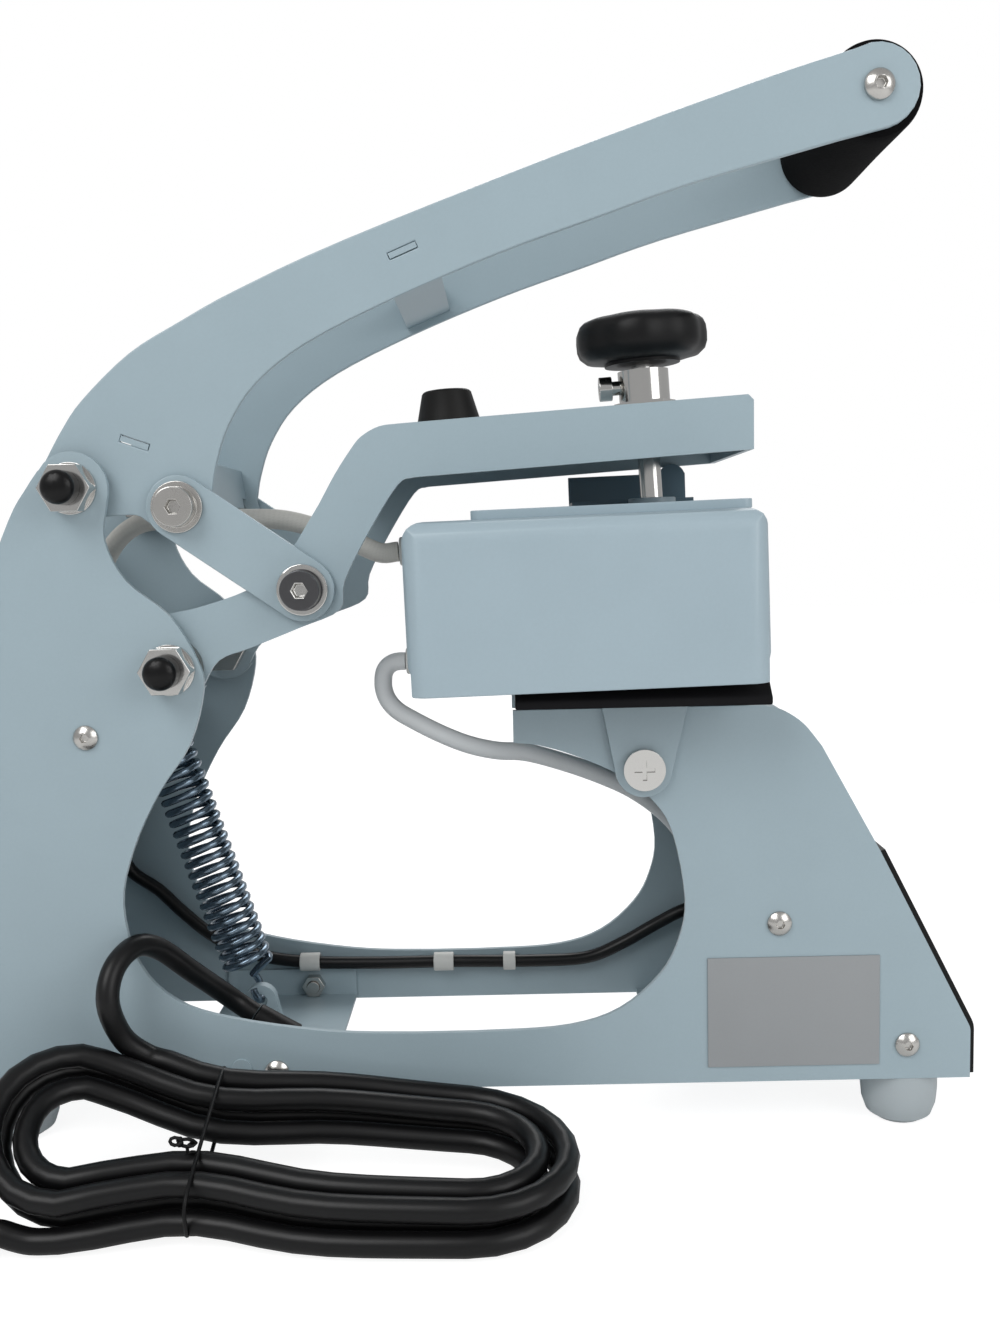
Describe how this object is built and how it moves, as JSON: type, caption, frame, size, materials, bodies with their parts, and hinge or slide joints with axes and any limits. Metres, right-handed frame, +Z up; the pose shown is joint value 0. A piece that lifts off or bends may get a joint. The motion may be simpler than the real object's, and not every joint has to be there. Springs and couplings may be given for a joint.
{
  "type": "cap heat press",
  "caption": "Clamshell heat press for cap fronts, with a toggle handle, a concave heater head on a pressure screw, a rocking curved lower platen and a sloped control panel.",
  "frame": {"origin": "on the table, under the middle of the press without its mains cord", "axes": "+X from the rear column to the control panel, +Y across the frame away from the label plate, +Z up"},
  "size_m": [0.3719, 0.1996, 0.3607],
  "materials": {
    "frame_paint": "smooth powder coat, pale blue grey",
    "head_paint": "smooth powder coat, a little lighter",
    "zinc_steel": "zinc plated",
    "dark_steel": "blackened",
    "grip_foam": "fine foam rubber",
    "bumper_rubber": "smooth moulded",
    "black_plastic": "moulded, satin",
    "pale_plastic": "moulded",
    "silicone_pad": "matt silicone",
    "cast_aluminium": "cast, ground face",
    "cable_sleeve": "braided glass sleeve",
    "cable_grey": "soft jacket",
    "cord_rubber": "soft jacket, satin",
    "board_green": "solder mask",
    "blanket_fibre": "needled fibre",
    "lens_smoke": "smoked, clear coat",
    "label_foil": "bare foil",
    "bush_bronze": "sintered"
  },
  "bodies": {
    "frame": {"left_side_plate": "frame_paint", "right_side_plate": "frame_paint", "rear_cover": "frame_paint", "front_cover": "frame_paint", "base_cross_plate": "frame_paint", "pedestal_floor": "frame_paint", "control_fascia": "black_plastic", "display_window": "lens_smoke", "circuit_board": "board_green", "label_plate": "label_foil", "base_feet": "pale_plastic", "frame_screws": "zinc_steel", "pivot_bolts": "zinc_steel", "pivot_nuts": "zinc_steel", "pivot_caps": "black_plastic", "rocker_screws": "zinc_steel", "cable_glands": "pale_plastic", "inner_lead": "cord_rubber", "lead_sleeves": "pale_plastic", "mains_cord": "cord_rubber", "mains_hank": "cord_rubber", "hank_tie": "cord_rubber", "mains_plug": "cord_rubber", "return_spring": "zinc_steel", "head_cable": "cable_sleeve", "lower_cable": "cable_grey"},
    "handle": {"left_handle_plate": "frame_paint", "right_handle_plate": "frame_paint", "handle_rear_bridge": "frame_paint", "handle_front_bridge": "frame_paint", "grip_sleeve": "grip_foam", "grip_bar": "zinc_steel", "grip_screws": "zinc_steel", "handle_link_bolts": "zinc_steel", "handle_bushes": "bush_bronze"},
    "arm": {"upper_arm": "frame_paint", "rubber_bumper": "bumper_rubber", "collar_nut": "zinc_steel", "lock_screw": "zinc_steel", "arm_bushes": "bush_bronze"},
    "links": {"toggle_links": "frame_paint", "arm_link_bolts": "dark_steel", "link_bushes": "bush_bronze"},
    "head": {"top_plate": "head_paint", "guide_bracket": "frame_paint", "heater_housing": "head_paint", "heater_platen": "cast_aluminium", "heating_element": "dark_steel", "insulation_blanket": "blanket_fibre", "thermal_cutout": "zinc_steel", "head_glands": "pale_plastic"},
    "screw": {"pressure_knob": "black_plastic", "pressure_screw": "zinc_steel"},
    "lower_platen": {"lower_pad": "silicone_pad", "lower_saddle": "cast_aluminium", "rocker_bracket": "frame_paint"},
    "power_key": {"power_button": "pale_plastic"},
    "set_key": {"set_button": "pale_plastic"},
    "up_key": {"up_button": "pale_plastic"},
    "down_key": {"down_button": "pale_plastic"}
  },
  "joints": [
    {"name": "handle_lift", "type": "hinge", "parent": "frame", "child": "handle", "pos_m": [-0.1244, 0, 0.223], "axis": [0, -1, 0], "range_deg": [-4, 60]},
    {"name": "arm_lift", "type": "hinge", "parent": "frame", "child": "arm", "pos_m": [-0.095, 0, 0.163], "axis": [0, -1, 0], "range_deg": [-2.4, 35.2], "deforming": ["return_spring", "head_cable", "lower_cable"]},
    {"name": "link_lift", "type": "hinge", "parent": "handle", "child": "links", "pos_m": [-0.0906, 0, 0.2163], "axis": [0, -1, 0], "range_deg": [-79.5, 5.4]},
    {"name": "head_slide", "type": "slide", "parent": "arm", "child": "head", "axis": [-0.0596, 0, 0.9982], "range_m": [-0.001, 0.003], "deforming": ["head_cable", "lower_cable"]},
    {"name": "knob_turn", "type": "hinge", "parent": "head", "child": "screw", "pos_m": [0.0678, 0, 0.24706], "axis": [-0.0596, 0, 0.9982], "range_deg": [-288.1, 864.1]},
    {"name": "platen_tilt", "type": "hinge", "parent": "frame", "child": "lower_platen", "pos_m": [0.0607, 0, 0.1269], "axis": [0, -1, 0], "range_deg": [-1.5, 1.5]},
    {"name": "power_press", "type": "slide", "parent": "frame", "child": "power_key", "axis": [-0.8944, 0, -0.4473], "range_m": [0, 0.001], "stiffness_N_per_m": 400, "springref_m": -0.001},
    {"name": "set_press", "type": "slide", "parent": "frame", "child": "set_key", "axis": [-0.8944, 0, -0.4473], "range_m": [0, 0.001], "stiffness_N_per_m": 400, "springref_m": -0.001},
    {"name": "up_press", "type": "slide", "parent": "frame", "child": "up_key", "axis": [-0.8944, 0, -0.4473], "range_m": [0, 0.001], "stiffness_N_per_m": 400, "springref_m": -0.001},
    {"name": "down_press", "type": "slide", "parent": "frame", "child": "down_key", "axis": [-0.8944, 0, -0.4473], "range_m": [0, 0.001], "stiffness_N_per_m": 400, "springref_m": -0.001}
  ],
  "couplings": [
    {"joint": "arm_lift", "follows": "handle_lift", "ratio": 0.5855},
    {"joint": "link_lift", "follows": "handle_lift", "ratio": -1.3228},
    {"joint": "knob_turn", "follows": "head_slide", "rad_per_m": 5026.5}
  ]
}
